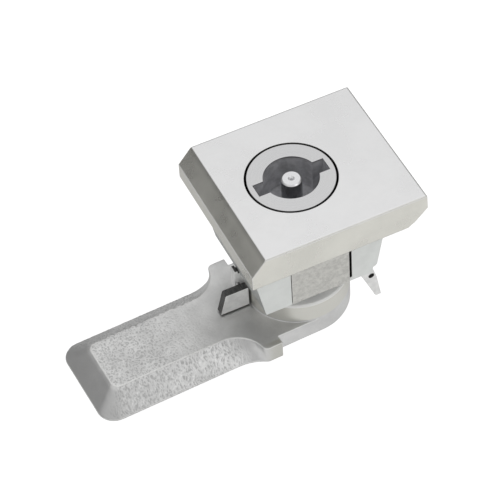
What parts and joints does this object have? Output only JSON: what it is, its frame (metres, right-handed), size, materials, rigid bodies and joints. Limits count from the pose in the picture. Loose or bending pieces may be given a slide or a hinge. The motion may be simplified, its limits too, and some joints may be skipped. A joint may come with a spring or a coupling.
{
  "type": "cabinet cam lock",
  "caption": "Quarter-turn cabinet lock: square head with pull lip, double-bit key insert, clamp fixing behind the panel and a wide tapered cam.",
  "frame": {"origin": "on the lock's axis, in the plane where the head's underside meets the panel", "axes": "+Z out of the panel along the lock's axis, +X to the pull lip, -X along the cam when closed, +Y along the cam when open"},
  "size_m": [0.0838, 0.04, 0.0497],
  "materials": {
    "satin_chrome": "satin plate on a zinc die casting",
    "pale_zinc": "pale matt plate on a zinc die casting",
    "cast_zinc": "matt plated casting with a fine grain",
    "turned_metal": "turned face with fine circular marks",
    "bright_pin": "ground steel",
    "plated_sheet": "plated",
    "plated_fastener": "bright zinc plate",
    "spring_steel": "oiled spring steel",
    "black_rubber": "moulded rubber"
  },
  "bodies": {
    "lock_body": {"housing": "satin_chrome", "panel_gasket": "black_rubber", "mounting_clamp": "pale_zinc", "retaining_plate": "plated_sheet", "plate_screws": "plated_fastener"},
    "rotor": {"key_insert": "turned_metal", "key_pin": "bright_pin", "spindle_seal": "black_rubber", "thrust_washer": "plated_fastener", "wave_washer": "spring_steel", "retaining_ring": "spring_steel", "cam": "cast_zinc", "cam_washer": "plated_fastener", "cam_spring_washer": "spring_steel", "cam_screw": "plated_fastener"}
  },
  "joints": [
    {"name": "quarter_turn", "type": "hinge", "parent": "lock_body", "child": "rotor", "pos_m": [0, 0, 0], "axis": [0, 0, -1], "range_deg": [0, 90]}
  ]
}
